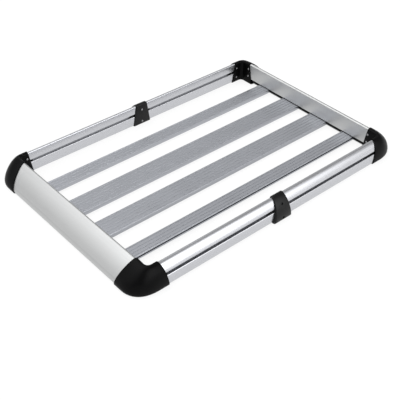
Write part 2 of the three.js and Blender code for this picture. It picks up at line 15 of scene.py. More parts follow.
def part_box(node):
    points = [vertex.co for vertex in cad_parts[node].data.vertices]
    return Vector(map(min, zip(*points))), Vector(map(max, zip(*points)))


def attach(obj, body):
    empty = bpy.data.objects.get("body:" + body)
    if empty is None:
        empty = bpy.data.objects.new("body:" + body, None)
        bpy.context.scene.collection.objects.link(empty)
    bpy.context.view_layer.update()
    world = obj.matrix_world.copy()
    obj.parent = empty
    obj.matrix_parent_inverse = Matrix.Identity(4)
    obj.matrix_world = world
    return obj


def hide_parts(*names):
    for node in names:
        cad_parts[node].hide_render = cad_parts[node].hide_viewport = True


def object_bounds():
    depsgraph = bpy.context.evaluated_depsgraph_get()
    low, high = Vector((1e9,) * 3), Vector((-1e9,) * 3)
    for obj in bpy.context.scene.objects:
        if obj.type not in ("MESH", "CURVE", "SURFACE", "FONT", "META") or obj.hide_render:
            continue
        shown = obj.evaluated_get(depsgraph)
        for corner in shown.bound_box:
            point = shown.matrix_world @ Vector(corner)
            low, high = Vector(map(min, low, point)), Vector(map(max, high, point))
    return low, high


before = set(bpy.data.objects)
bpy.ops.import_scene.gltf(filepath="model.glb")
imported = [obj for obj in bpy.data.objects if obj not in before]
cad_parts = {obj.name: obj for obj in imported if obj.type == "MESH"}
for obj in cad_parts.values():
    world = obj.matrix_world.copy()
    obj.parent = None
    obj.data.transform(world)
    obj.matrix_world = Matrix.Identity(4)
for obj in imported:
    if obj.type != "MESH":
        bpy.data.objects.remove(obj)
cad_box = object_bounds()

MM = 0.001
ENDS = {"front": 1, "rear": -1}
SIDES = {"left": 1, "right": -1}
SHARP_EDGE = math.radians(32)


def box_mm(node):
    low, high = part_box(node)
    return low / MM, high / MM


# ---- Sizes ----------------------------------------------------------------------------------

fairing_low, fairing_high = box_mm("fairing_front")
lower_low, lower_high = box_mm("rail_lower_left")
upper_low, upper_high = box_mm("rail_upper_left")
bracket_low, bracket_high = box_mm("bracket_left")

INNER_X = fairing_low.x          # inner wall of a fairing
INNER_Y = lower_low.y            # inner face of a rail
FIT_GAP = 0.3
SLEEVE_WALL = 3.0
EXTRUSION_WALL = 2.0
GROW = FIT_GAP + SLEEVE_WALL     # from a section's face to the outside of the sleeve over it

MITRE_LIMIT = 0.5                # keeps a sharp corner from running far out in an offset outline
FACE_STEPS = 30                  # straight pieces in the long bowed face of a section
CORNER_STEPS = 7                 # straight pieces in each rounded edge of a section
INNER_EDGE = 2.5                 # rounding along the edges of a section's inner wall
TUBE_EDGE = 3.0                  # rounding where the two tubes face each other
CORNER_CLEAR = 0.4               # least distance from that rounding to the next point of the face

FAIRING = {
    "depth": fairing_high.x - fairing_low.x, "bottom": fairing_low.z, "top": fairing_high.z,
    "lip": 7, "belly": 17, "heel": 9, "shoulder": (20, 90.5), "flank": (64.5, 52),
}
RAIL = {
    "depth": lower_high.y - lower_low.y, "bottom": lower_low.z, "top": upper_high.z,
    "lip": 5, "belly": 18, "heel": 8, "shoulder": (16, 86.5), "flank": (35, 63),
}
BRACKET = {
    "depth": bracket_high.y - bracket_low.y, "bottom": bracket_low.z, "top": bracket_high.z,
    "lip": 8, "belly": 17, "heel": 9, "shoulder": (20, 91.5), "flank": (48.5, 64),
}

DECK_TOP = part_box("slat_inner_left")[1].z / MM
SLAT_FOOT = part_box("slat_inner_left")[0].z / MM
WALL_FOOT = DECK_TOP + 2.5       # lower edge of a fairing's inner wall
FAIRING_WEB = DECK_TOP + 4.5     # underside of the web that closes a fairing's upper cell
CHANNEL_CLEAR = 0.2              # least height of a channel's side points over its floor
FLANGE_SETBACK = 10              # how far a fairing's bottom flange starts behind its inner wall
STRIP_BAR_FOOT = DECK_TOP + 2.2  # underside of the bar that joins a strip's teeth over the slats

SLAT_WALL = 1.6
SLAT_CORNER = 1.5
GROOVE_WIDTH = 2.4
GROOVE_DEPTH = 1.0
GROOVES = {"outer": 4, "inner": 6}
SLOT = {"low": 12.4, "high": 18.4, "depth": 9}  # accessory slot along an outer slat's outboard side

TURN_X = INNER_X - 21.5          # where a corner starts to turn, on the rail and on the fairing
TURN_Y = INNER_Y - 44.5
INNER_BEND = 16                  # plan radius of the inner wall's corner
OUTER_POWER = 2.4                # 2 would be a plain ellipse; more is fuller
TURN_STEPS = 28
RAIL_MOUTH = 518.5               # x of a sleeve end at the inner wall's top
FAIRING_MOUTH = 326.5            # y of the other sleeve end at the inner wall's top
MOUTH_TOP = 90
MOUTH_RAKE = 0.16                # how much further each sleeve reaches per mm down
MOUTH_SWEEP = 0.15               # and per mm outward
RIM_ROUND = 1.2                  # rounding of a sleeve end's outer edge
RIM_INNER = 0.4                  # and of its inner edge
RIM_STEPS = 4                    # straight pieces in that outer rounding

BRACKET_X = (bracket_low.x + bracket_high.x) / 2
BRACKET_HALF_TOP = 27
BRACKET_HALF_FOOT = 42
BRACKET_ROUND = 4.5              # rounding of the ends of its outer face
BRACKET_STEPS = 5                # straight pieces in it
SUNK_LIMIT = 0.8                 # how much of the wall that rounding may take
COUNTERBORE = 4.6
COUNTERBORE_FLOOR = 4.0
COUNTERBORE_REACH = 30           # how far its cutter runs out beyond the floor
COUNTERBORE_SIDES = 40
BRACKET_SCREW_Z = (13, 66)

SHADE_TONGUE_REACH = 10                # how far a black tongue between the tubes sticks out of its sleeve: painted shade, standing in for the shade that tapers along the groove
SHADE_TONGUE_INSET = 3                 # how far it is set back from the tubes' faces
SHADE_TONGUE_EDGE = 1.2
WEB_EDGE = 0.6
WEB_SETBACK = 1                  # how far a web starts inside its sleeve's end
WEB_BITE = 3                     # how far a web or tongue reaches into its sleeve

SHANK_RADIUS = 2.2
POINT_LENGTH = 1                 # tapered end of a shank
POINT_TAPER = 0.7                # its radius at the end, over the shank's
THREAD_PITCH = 0.8
THREAD_ROOT = 0.84               # radius between ridges, over the shank's
PLAIN_NECK = 2                   # length under the head without ridges
HEAD_EDGE = 0.2
HEAD_RIM = 0.35                  # upright share of a head's height
HEAD_STEPS = 6                   # straight pieces in a head's dome
HEAD_FULLNESS = 0.8              # 1 would be a plain ellipse; less is fuller
RECESS_ARM = 0.45                # half the width of a cross recess's arm
RECESS_REACH = 0.55              # half its length, over the head's radius
RECESS_FLOOR = 0.45              # height of its floor, over the head's height
RECESS_EDGE = 0.12
RECESS_CLEAR = 2                 # how far its cutter stands over the head
SCREW_TURN = 2.4                 # radians from one screw's recess to the next one's
PAN = {"radius": 4.0, "height": 2.4, "length": 13}
LOW_PAN = {"radius": 3.8, "height": 1.8, "length": 9}


# ---- Outlines: (depth, height) points in a section's plane ------------------------------------

def bezier(controls, steps):
    """Points along a Bezier curve of any order, both ends included."""
    points = []
    for i in range(steps + 1):
        row = [Vector(c) for c in controls]
        while len(row) > 1:
            row = [a.lerp(b, i / steps) for a, b in zip(row, row[1:])]
        points.append(row[0])
    return points


def rounded_corner(before, corner, after, radius, steps=CORNER_STEPS):
    corner = Vector(corner)
    start = corner + (Vector(before) - corner).normalized() * radius
    end = corner + (Vector(after) - corner).normalized() * radius
    return bezier([start, corner, end], steps)


def quarter_turn(steps):
    """Angles from 90 degrees down to 0."""
    return [math.radians(90 - 90 / steps * k) for k in range(steps + 1)]


def bowed_outline(section):
    """Flat inner wall, rounded lip, long bowed outer face, rounded heel and flat bottom."""
    foot = (0, section["bottom"])
    top_corner = (0, section["top"])
    crest = (section["lip"], section["top"])
    belly = (section["depth"], section["belly"])
    heel_corner = (section["depth"], section["bottom"])
    face = bezier([crest, section["shoulder"], section["flank"], belly], FACE_STEPS)
    return (
        rounded_corner(heel_corner, foot, top_corner, INNER_EDGE)
        + rounded_corner(foot, top_corner, crest, section["lip"])
        + face[1:]
        + rounded_corner(belly, heel_corner, foot, section["heel"])[1:]
    )


def offset_outline(points, distance):
    """The outline moved outward by distance, or inward where it is negative."""
    moved = []
    for i, point in enumerate(points):
        a = (point - points[i - 1]).normalized()
        b = (points[(i + 1) % len(points)] - point).normalized()
        normal = Vector((-a.y - b.y, a.x + b.x)).normalized()
        spread = max(MITRE_LIMIT, normal.dot(Vector((-a.y, a.x))))
        moved.append(point + normal * (distance / spread))
    return moved


def bore_outline(points, wall):
    """The outline moved inward by a wall, without the points that fold over in tight corners."""
    moved = offset_outline(points, -wall)
    kept = []
    for i, point in enumerate(moved):
        after = (i + 1) % len(moved)
        comes_forward = (point - moved[i - 1]).dot(points[i] - points[i - 1]) > 0
        goes_forward = (moved[after] - point).dot(points[after] - points[i]) > 0
        if comes_forward and goes_forward:
            kept.append(point)
    return kept


def face_at_height(points, height):
    """Point of an outline's outer side at a height."""
    for above, below in zip(points, points[1:]):
        if above.y > height >= below.y:
            return above.lerp(below, (above.y - height) / (above.y - below.y))
    raise ValueError("height outside the outline")


def tube_outline(low, high):
    """The height band of the rail section that one tube takes, with its facing edge rounded."""
    outline = bowed_outline(RAIL)
    is_upper = low > RAIL["bottom"]
    cut = low if is_upper else high
    outer = face_at_height(outline, cut)
    inner = Vector((0, cut))
    clear = TUBE_EDGE + CORNER_CLEAR
    inside = [p for p in outline if low <= p.y <= high and (p - outer).length > clear]
    if is_upper:
        return (
            rounded_corner(outer, inner, inside[0], INNER_EDGE)
            + inside
            + rounded_corner(inside[-1], outer, inner, TUBE_EDGE)
        )
    foot = inside[:CORNER_STEPS + 1]
    heel = inside[CORNER_STEPS + 1:]
    return (
        foot
        + rounded_corner(foot[-1], inner, outer, INNER_EDGE)
        + rounded_corner(inner, outer, heel[0], TUBE_EDGE)
        + heel
    )


def fairing_outlines():
    """Outer outline with the channel that is open to the deck, and the closed upper cell."""
    outer = bowed_outline(FAIRING)
    inner = offset_outline(outer, -EXTRUSION_WALL)
    floor = FAIRING["bottom"] + EXTRUSION_WALL
    wall = [p for p in outer if p.y > WALL_FOOT or p.x > FLANGE_SETBACK]
    web = face_at_height(inner, FAIRING_WEB)
    side_foot = floor + CHANNEL_CLEAR
    channel_side = [p for p in inner if p.x > FAIRING["lip"] and side_foot < p.y < FAIRING_WEB]
    profile = (
        [Vector((FLANGE_SETBACK, FAIRING["bottom"])), Vector((FLANGE_SETBACK, floor))]
        + [Vector((FAIRING["depth"] - FAIRING["heel"], floor))]
        + channel_side[::-1]
        + [web, Vector((EXTRUSION_WALL, FAIRING_WEB))]
        + [Vector((EXTRUSION_WALL, WALL_FOOT)), Vector((0, WALL_FOOT))]
        + wall
    )
    cell_floor = FAIRING_WEB + EXTRUSION_WALL
    cell = (
        [Vector((EXTRUSION_WALL, cell_floor))]
        + [p for p in inner if cell_floor < p.y < FAIRING["top"]]
        + [face_at_height(inner, cell_floor)]
    )
    return profile, [cell]


def slat_outlines(width, grooves, slotted):
    """Grooved top, rounded corners, closed cells, and a slot in the +y side where slotted."""
    half = width / 2
    pitch = width / grooves
    low, high = SLAT_FOOT, DECK_TOP
    slope = GROOVE_DEPTH / 2
    points = rounded_corner((0, low), (half, low), (half, high), SLAT_CORNER, 3)
    if slotted:
        back = half - SLOT["depth"]
        points += [Vector((half, SLOT["low"])), Vector((back, SLOT["low"]))]
        points += [Vector((back, SLOT["high"])), Vector((half, SLOT["high"]))]
    points += rounded_corner((half, low), (half, high), (0, high), SLAT_CORNER, 3)
    for i in range(grooves):
        middle = half - pitch * (i + 0.5)
        edge = GROOVE_WIDTH / 2
        points += [Vector((middle + edge, high)), Vector((middle + edge - slope, high - GROOVE_DEPTH))]
        points += [Vector((middle - edge + slope, high - GROOVE_DEPTH)), Vector((middle - edge, high))]
    points += rounded_corner((0, high), (-half, high), (-half, low), SLAT_CORNER, 3)
    points += rounded_corner((-half, high), (-half, low), (0, low), SLAT_CORNER, 3)

    first = SLAT_WALL - half
    last = half - (SLOT["depth"] if slotted else 0)
    cell_pitch = (last - first) / grooves
    cell_low, cell_high = low + SLAT_WALL, high - GROOVE_DEPTH - SLAT_WALL
    cells = []
    for i in range(grooves):
        left = first + cell_pitch * i
        right = left + cell_pitch - SLAT_WALL
        cells.append([Vector(p) for p in
                      ((left, cell_low), (right, cell_low), (right, cell_high), (left, cell_high))])
    return points, cells


# ---- Meshes -----------------------------------------------------------------------------------

def finish_mesh(name, bm):
    """A metre mesh from a millimetre bmesh, faces out, smooth with sharp edges kept."""
    bmesh.ops.recalc_face_normals(bm, faces=bm.faces)
    bmesh.ops.scale(bm, vec=(MM, MM, MM), verts=bm.verts)
    mesh = bpy.data.meshes.new(name)
    bm.to_mesh(mesh)
    bm.free()
    mesh.shade_smooth()
    mesh.set_sharp_from_angle(angle=SHARP_EDGE)
    return mesh


def extrude(bm, outline, holes, place, half):
    """A straight bar from -half to +half; place turns (depth, height, along) into a point."""
    loops = [outline] + holes
    ends = []
    for along in (-half, half):
        ends.append([[bm.verts.new(place(p.x, p.y, along)) for p in loop] for loop in loops])
    for near, far in zip(*ends):
        for i in range(len(near)):
            j = (i + 1) % len(near)
            bm.faces.new((near[i], near[j], far[j], far[i]))
    triangles = tessellate_polygon([[p.to_3d() for p in loop] for loop in loops])
    for end in ends:
        flat = [vertex for loop in end for vertex in loop]
        for triangle in triangles:
            bm.faces.new([flat[k] for k in triangle])


def skin(bm, rings):
    """A closed sleeve: rings joined in order, and the last one to the first."""
    rows = [[bm.verts.new(p) for p in ring] for ring in rings]
    for row, following in zip(rows, rows[1:] + rows[:1]):
        for i in range(len(row)):
            j = (i + 1) % len(row)
            bm.faces.new((row[i], row[j], following[j], following[i]))


def rounded_block(bm, low, high, radius):
    """A box with rounded edges as one closed island."""
    low, high = Vector(low), Vector(high)
    place = Matrix.Translation((low + high) / 2) @ Matrix.Diagonal((high - low).to_4d())
    verts = bmesh.ops.create_cube(bm, size=1, matrix=place)["verts"]
    edges = list({edge for vertex in verts for edge in vertex.link_edges})
    bmesh.ops.bevel(bm, geom=edges, offset=radius, segments=3, profile=0.5, affect="EDGES")


def turned(bm, profile, sides=32):
    """A solid of revolution about z from (radius, height) points that start and end on the axis."""
    first = bm.verts.new((0, 0, profile[0][1]))
    last = bm.verts.new((0, 0, profile[-1][1]))
    rows = []
    for radius, height in profile[1:-1]:
        angles = [2 * math.pi * k / sides for k in range(sides)]
        rows.append([bm.verts.new((radius * math.cos(a), radius * math.sin(a), height)) for a in angles])
    for k in range(sides):
        j = (k + 1) % sides
        bm.faces.new((first, rows[0][j], rows[0][k]))
        bm.faces.new((last, rows[-1][k], rows[-1][j]))
        for row, following in zip(rows, rows[1:]):
            bm.faces.new((row[k], row[j], following[j], following[k]))


def mirrored(mesh, name, sign_x, sign_y):
    bm = bmesh.new()
    bm.from_mesh(mesh)
    bmesh.ops.scale(bm, vec=(sign_x / MM, sign_y / MM, 1 / MM), verts=bm.verts)
    return finish_mesh(name, bm)


def cut(mesh, cutter):
    """The mesh with the closed cutter mesh taken out of it."""
    body = bpy.data.objects.new("cut_body", mesh)
    tool = bpy.data.objects.new("cut_tool", cutter)
    for piece in (body, tool):
        bpy.context.scene.collection.objects.link(piece)
    boolean = body.modifiers.new("cut", "BOOLEAN")
    boolean.operation = "DIFFERENCE"
    boolean.solver = "EXACT"
    boolean.object = tool
    bpy.context.view_layer.update()
    evaluated = body.evaluated_get(bpy.context.evaluated_depsgraph_get())
    result = bpy.data.meshes.new_from_object(evaluated)
    bpy.data.objects.remove(body)
    bpy.data.objects.remove(tool)
    result.shade_smooth()
    result.set_sharp_from_angle(angle=SHARP_EDGE)
    return result


# ---- Pieces -----------------------------------------------------------------------------------

def fairing_mesh():
    bm = bmesh.new()
    profile, holes = fairing_outlines()
    extrude(bm, profile, holes, lambda x, z, y: (INNER_X + x, y, z), fairing_high.y)
    return finish_mesh("fairing", bm)


def tube_mesh(low, high):
    bm = bmesh.new()
    outline = tube_outline(low, high)
    bore = bore_outline(outline, EXTRUSION_WALL)
    extrude(bm, outline, [bore], lambda y, z, x: (x, INNER_Y + y, z), lower_high.x)
    return finish_mesh("tube", bm)


def slat_mesh(kind):
    low, high = box_mm(f"slat_{kind}_left")
    bm = bmesh.new()
    outline, cells = slat_outlines(high.y - low.y, GROOVES[kind], kind == "outer")
    middle = (low.y + high.y) / 2
    extrude(bm, outline, cells, lambda y, z, x: (x, middle + y, z), high.x)
    return finish_mesh("slat", bm)


def bend_point(t):
    """Plan point of the inner wall's corner, t from 0 at the rail to 1 at the fairing."""
    along_rail = INNER_X - INNER_BEND - TURN_X
    arc = INNER_BEND * math.pi / 2
    along_fairing = INNER_Y - INNER_BEND - TURN_Y
    walked = t * (along_rail + arc + along_fairing)
    if walked < along_rail:
        return Vector((TURN_X + walked, INNER_Y))
    if walked > along_rail + arc:
        return Vector((INNER_X, INNER_Y - INNER_BEND - (walked - along_rail - arc)))
    angle = (walked - along_rail) / INNER_BEND
    centre = Vector((INNER_X - INNER_BEND, INNER_Y - INNER_BEND))
    return centre + INNER_BEND * Vector((math.sin(angle), math.cos(angle)))


def bulge_point(t):
    """Plan point of the outer wall's corner."""
    angle = t * math.pi / 2
    reach_x = INNER_X + FAIRING["depth"] - TURN_X
    reach_y = INNER_Y + RAIL["depth"] - TURN_Y
    return Vector((
        TURN_X + reach_x * math.sin(angle) ** (2 / OUTER_POWER),
        TURN_Y + reach_y * max(0.0, math.cos(angle)) ** (2 / OUTER_POWER),
    ))


def turn_ring(rail, fairing, t):
    """Ring of the corner at turn t, between a rail outline and a fairing outline."""
    inner, outer = bend_point(t), bulge_point(t)
    depth = RAIL["depth"] + (FAIRING["depth"] - RAIL["depth"]) * t
    ring = []
    for a, b in zip(rail, fairing):
        point = a.lerp(b, t)
        plan = inner + (outer - inner) * (point.x / depth)
        ring.append(Vector((plan.x, plan.y, point.y)))
    return ring


def slope(p):
    """How far a sleeve end reaches beyond its top inner corner at an outline's point."""
    return MOUTH_RAKE * (MOUTH_TOP - p.y) + MOUTH_SWEEP * max(0.0, p.x)


def rim_steps():
    """(growth over the section, setback from the mouth) round a sleeve's end, inside to outside."""
    steps = [(FIT_GAP, RIM_INNER), (FIT_GAP + RIM_INNER, 0)]
    for angle in quarter_turn(RIM_STEPS):
        growth = GROW - RIM_ROUND * (1 - math.cos(angle))
        steps.append((growth, RIM_ROUND * (1 - math.sin(angle))))
    return steps


def elbow_mesh():
    rail, fairing = bowed_outline(RAIL), bowed_outline(FAIRING)
    rail_rim, fairing_rim = [], []
    for growth, setback in rim_steps():
        rail_rim.append([
            Vector((RAIL_MOUTH - slope(p) + setback, INNER_Y + p.x, p.y))
            for p in offset_outline(rail, growth)
        ])
        fairing_rim.append([
            Vector((INNER_X + p.x, FAIRING_MOUTH - slope(p) + setback, p.y))
            for p in offset_outline(fairing, growth)
        ])

    def corner_rings(growth):
        rail_ring, fairing_ring = offset_outline(rail, growth), offset_outline(fairing, growth)
        return [turn_ring(rail_ring, fairing_ring, i / TURN_STEPS) for i in range(TURN_STEPS + 1)]

    outside, inside = corner_rings(GROW), corner_rings(FIT_GAP)
    bm = bmesh.new()
    skin(bm, rail_rim + outside + fairing_rim[::-1] + inside[::-1])
    web_low, web_high = lower_high.z + FIT_GAP, upper_low.z - FIT_GAP
    mouth = RAIL_MOUTH - MOUTH_RAKE * (MOUTH_TOP - web_low)
    face = INNER_Y + face_at_height(rail, web_high).x
    rounded_block(
        bm, (mouth + WEB_SETBACK, INNER_Y - GROW / 2, web_low),
        (lower_high.x, face + GROW / 2, web_high), WEB_EDGE,
    )
    # Black tongue out of the sleeve's end between the tubes: painted shade, standing in for the shade
    # along the groove.
    rounded_block(
        bm, (mouth - SHADE_TONGUE_REACH, INNER_Y + SHADE_TONGUE_INSET, web_low),
        (mouth + WEB_BITE, face - SHADE_TONGUE_INSET, web_high), SHADE_TONGUE_EDGE,
    )
    return finish_mesh("elbow", bm)


def bracket_half(z):
    """Half the bracket's length at a height."""
    return BRACKET_HALF_FOOT + (BRACKET_HALF_TOP - BRACKET_HALF_FOOT) * z / BRACKET["top"]


def bracket_mesh():
    bore = offset_outline(bowed_outline(RAIL), FIT_GAP)
    face = bracket_low.y
    body = [Vector((p.x + face - INNER_Y, p.y)) for p in bowed_outline(BRACKET)]

    def ring(outline, end, setback):
        return [
            Vector((BRACKET_X + end * (bracket_half(p.y) - setback), INNER_Y + p.x, p.y))
            for p in outline
        ]

    def sunk(depth):
        """The body's outline moved towards the bore, but never all the way."""
        return [p + (q - p) * min(SUNK_LIMIT, depth / (q - p).length) for p, q in zip(body, bore)]

    def rim(end):
        rings = [ring(bore, end, RIM_INNER), ring(offset_outline(bore, RIM_INNER), end, 0)]
        for angle in quarter_turn(BRACKET_STEPS):
            setback = BRACKET_ROUND * (1 - math.sin(angle))
            rings.append(ring(sunk(BRACKET_ROUND * (1 - math.cos(angle))), end, setback))
        return rings

    bm = bmesh.new()
    skin(bm, rim(-1) + rim(1)[::-1])
    shell = finish_mesh("bracket", bm)

    bm = bmesh.new()
    for z in BRACKET_SCREW_Z:
        seat = INNER_Y + face_at_height(bowed_outline(RAIL), z).x + COUNTERBORE_FLOOR
        profile = [(0, 0), (COUNTERBORE, 0), (COUNTERBORE, COUNTERBORE_REACH), (0, COUNTERBORE_REACH)]
        start = len(bm.verts)
        turned(bm, profile, COUNTERBORE_SIDES)
        bm.verts.ensure_lookup_table()
        placed = Matrix.Translation((BRACKET_X, seat, z)) @ Matrix.Rotation(math.radians(-90), 4, "X")
        bmesh.ops.transform(bm, matrix=placed, verts=bm.verts[start:])
    shell = cut(shell, finish_mesh("counterbores", bm))

    bm = bmesh.new()
    bm.from_mesh(shell)
    bmesh.ops.scale(bm, vec=(1 / MM, 1 / MM, 1 / MM), verts=bm.verts)
    web_low, web_high = lower_high.z + FIT_GAP, upper_low.z - FIT_GAP
    half = bracket_half(web_low) - WEB_SETBACK
    outer_face = INNER_Y + face_at_height(bowed_outline(RAIL), web_high).x
    rounded_block(
        bm, (BRACKET_X - half, face + WEB_SETBACK, web_low),
        (BRACKET_X + half, outer_face + WEB_BITE, web_high), WEB_EDGE,
    )
    # Black tongues out of both ends between the tubes: painted shade, standing in for the shade along
    # the groove.
    reach = half + SHADE_TONGUE_REACH
    rounded_block(
        bm, (BRACKET_X - reach, INNER_Y + SHADE_TONGUE_INSET, web_low),
        (BRACKET_X + reach, outer_face - SHADE_TONGUE_INSET, web_high), SHADE_TONGUE_EDGE,
    )
    return finish_mesh("bracket", bm)


def screw_mesh(kind):
    """Domed pan head with a cross recess, underside at z = 0, and a shank down -z with plain rings."""
    radius, height, length = kind["radius"], kind["height"], kind["length"]
    ridge = POINT_LENGTH - length
    profile = [(0, -length), (SHANK_RADIUS * POINT_TAPER, -length), (SHANK_RADIUS, ridge)]
    while ridge < -PLAIN_NECK:
        profile.append((SHANK_RADIUS * THREAD_ROOT, ridge + THREAD_PITCH / 2))
        profile.append((SHANK_RADIUS, ridge + THREAD_PITCH))
        ridge += THREAD_PITCH
    profile += [(SHANK_RADIUS, 0), (radius - HEAD_EDGE, 0)]
    profile += [(radius, HEAD_EDGE), (radius, height * HEAD_RIM)]
    for angle in quarter_turn(HEAD_STEPS)[-2::-1]:
        rise = HEAD_RIM + (1 - HEAD_RIM) * math.sin(angle)
        profile.append((radius * math.cos(angle) ** HEAD_FULLNESS, height * rise))
    profile[-1] = (0, height)
    bm = bmesh.new()
    turned(bm, profile)
    head = finish_mesh("screw", bm)
    half = radius * RECESS_REACH
    floor, top = height * RECESS_FLOOR, height + RECESS_CLEAR
    for reach_x, reach_y in ((half, RECESS_ARM), (RECESS_ARM, half)):
        bm = bmesh.new()
        rounded_block(bm, (-reach_x, -reach_y, floor), (reach_x, reach_y, top), RECESS_EDGE)
        head = cut(head, finish_mesh("recess", bm))
    return head


# ---- Materials: noise frequencies are per metre -----------------------------------------------

DIE_LINES = (900, 0.3)           # across an extrusion and along it
BANDS = (150, 0.1)
MOTTLE = (9, 9, 9)
GRAIN = (1900, 1900, 1900)
BLOTCHES = (28, 28, 28)
PLATING_SPOTS = (700, 700, 700)
TURNING_MARKS = 900

class Nodes:
    """A node material under construction, with its Principled shader as `surface`."""

    def __init__(self, name):
        self.material = bpy.data.materials.new(name)
        self.material.use_nodes = True
        self.tree = self.material.node_tree
        self.surface = self.tree.nodes["Principled BSDF"]
        self.place = self.tree.nodes.new("ShaderNodeTexCoord").outputs["Object"]

    def link(self, source, target):
        self.tree.links.new(source, target)

    def noise(self, frequency, detail=3.0):
        """Noise with its own frequency per metre along x, y and z."""
        mapping = self.tree.nodes.new("ShaderNodeMapping")
        mapping.inputs["Scale"].default_value = frequency
        self.link(self.place, mapping.inputs["Vector"])
        texture = self.tree.nodes.new("ShaderNodeTexNoise")
        texture.inputs["Scale"].default_value = 1
        texture.inputs["Detail"].default_value = detail
        self.link(mapping.outputs["Vector"], texture.inputs["Vector"])
        return texture.outputs["Fac"]

    def spread(self, source, low, high, source_low=0.3, source_high=0.7):
        """A value from low to high as the source goes from source_low to source_high."""
        node = self.tree.nodes.new("ShaderNodeMapRange")
        node.inputs["From Min"].default_value = source_low
        node.inputs["From Max"].default_value = source_high
        node.inputs["To Min"].default_value = low
        node.inputs["To Max"].default_value = high
        self.link(source, node.inputs["Value"])
        return node.outputs["Result"]

    def add(self, a, b):
        node = self.tree.nodes.new("ShaderNodeMath")
        node.operation = "ADD"
        self.link(a, node.inputs[0])
        self.link(b, node.inputs[1])
        return node.outputs[0]

    def mix(self, factor, a, b):
        """Colour a where factor is 0 and b where it is 1; each is a colour or a socket."""
        node = self.tree.nodes.new("ShaderNodeMix")
        node.data_type = "RGBA"
        self.link(factor, node.inputs["Factor"])
        for value, socket in ((a, node.inputs[6]), (b, node.inputs[7])):
            if isinstance(value, tuple):
                socket.default_value = (*value, 1)
            else:
                self.link(value, socket)
        return node.outputs[2]

    def worn_edges(self, low=0.53, high=0.62):
        geometry = self.tree.nodes.new("ShaderNodeNewGeometry")
        return self.spread(geometry.outputs["Pointiness"], 0, 1, low, high)

    def bump(self, height, strength, depth):
        node = self.tree.nodes.new("ShaderNodeBump")
        node.inputs["Strength"].default_value = strength
        node.inputs["Distance"].default_value = depth
        self.link(height, node.inputs["Height"])
        self.link(node.outputs["Normal"], self.surface.inputs["Normal"])


def tint(color, factor):
    return tuple(min(1.0, channel * factor) for channel in color)


def aluminium(name, color, roughness, along, banding):
    """Satin anodised extrusion: die lines run along one axis, with soft mottling over them."""
    nodes = Nodes(name)
    nodes.surface.inputs["Metallic"].default_value = 1

    def stretched(across, lengthwise):
        return tuple(lengthwise if axis == along else across for axis in "xyz")

    lines = nodes.noise(stretched(*DIE_LINES), 2)
    bands = nodes.noise(stretched(*BANDS), 2)
    mottle = nodes.noise(MOTTLE, 5)
    shade = nodes.mix(nodes.spread(bands, 0, 1), tint(color, 1 - banding), tint(color, 1 + banding))
    shade = nodes.mix(nodes.spread(mottle, 0, 0.25), shade, tint(color, 1.12))
    shade = nodes.mix(nodes.spread(lines, 0, 0.3), shade, tint(color, 0.88))
    shade = nodes.mix(nodes.worn_edges(), shade, tint(color, 1.25))
    nodes.link(shade, nodes.surface.inputs["Base Color"])
    rough = nodes.add(
        nodes.spread(lines, roughness - 0.03, roughness + 0.05), nodes.spread(mottle, -0.03, 0.03),
    )
    nodes.link(rough, nodes.surface.inputs["Roughness"])
    nodes.bump(nodes.add(lines, bands), 0.08, 0.0002)
    return nodes.material


def moulded_plastic(name, gloss):
    """Black moulded nylon: fine spark-eroded grain, uneven sheen, edges rubbed a little grey."""
    nodes = Nodes(name)
    grain = nodes.noise(GRAIN, 2)
    blotches = nodes.noise(BLOTCHES, 4)
    shade = nodes.mix(nodes.spread(blotches, 0, 1), (0.001, 0.001, 0.0011), (0.002, 0.002, 0.0022))
    shade = nodes.mix(nodes.spread(grain, 0, 0.5), shade, (0.003, 0.003, 0.0033))
    shade = nodes.mix(nodes.worn_edges(0.56, 0.75), shade, (0.010, 0.010, 0.011))
    nodes.link(shade, nodes.surface.inputs["Base Color"])
    rough = nodes.add(nodes.spread(blotches, 0.30, 0.38), nodes.spread(grain, -0.02, 0.04))
    nodes.link(rough, nodes.surface.inputs["Roughness"])
    nodes.surface.inputs["Specular IOR Level"].default_value = gloss
    nodes.bump(grain, 0.15, 0.0001)
    return nodes.material


def screw_steel(name, color):
    """Plated steel with turning marks round the head's axis, in the colour given; a near-black colour is
    painted shade.
    """
    nodes = Nodes(name)
    nodes.surface.inputs["Metallic"].default_value = 1
    rings = nodes.tree.nodes.new("ShaderNodeTexWave")
    rings.wave_type = "RINGS"
    rings.rings_direction = "Z"
    rings.inputs["Scale"].default_value = TURNING_MARKS
    rings.inputs["Distortion"].default_value = 1.5
    nodes.link(nodes.place, rings.inputs["Vector"])
    spots = nodes.noise(PLATING_SPOTS, 4)
    shade = nodes.mix(nodes.spread(spots, 0, 1), tint(color, 0.85), tint(color, 1.15))
    shade = nodes.mix(nodes.worn_edges(), shade, tint(color, 1.6))
    nodes.link(shade, nodes.surface.inputs["Base Color"])
    nodes.link(nodes.spread(spots, 0.26, 0.40), nodes.surface.inputs["Roughness"])
    nodes.bump(rings.outputs["Fac"], 0.1, 0.00005)
    return nodes.material


# ---- Assembly ---------------------------------------------------------------------------------

def add_piece(name, mesh, material, node, matrix=None):
    """Puts a mesh in place of the CAD node it stands for."""
    mesh.materials.clear()
    mesh.materials.append(material)
    piece = bpy.data.objects.new(name, mesh)
    bpy.context.scene.collection.objects.link(piece)
    if matrix is not None:
        piece.matrix_world = matrix
    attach(piece, "root")
    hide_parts(node)


def add_fairings():
    finish = aluminium("fairing_aluminium", (0.39, 0.394, 0.395), 0.40, "y", 0.03)
    mesh = fairing_mesh()
    for end, sign in ENDS.items():
        node = f"fairing_{end}"
        add_piece(f"{node}_look", mirrored(mesh, node, sign, 1), finish, node)


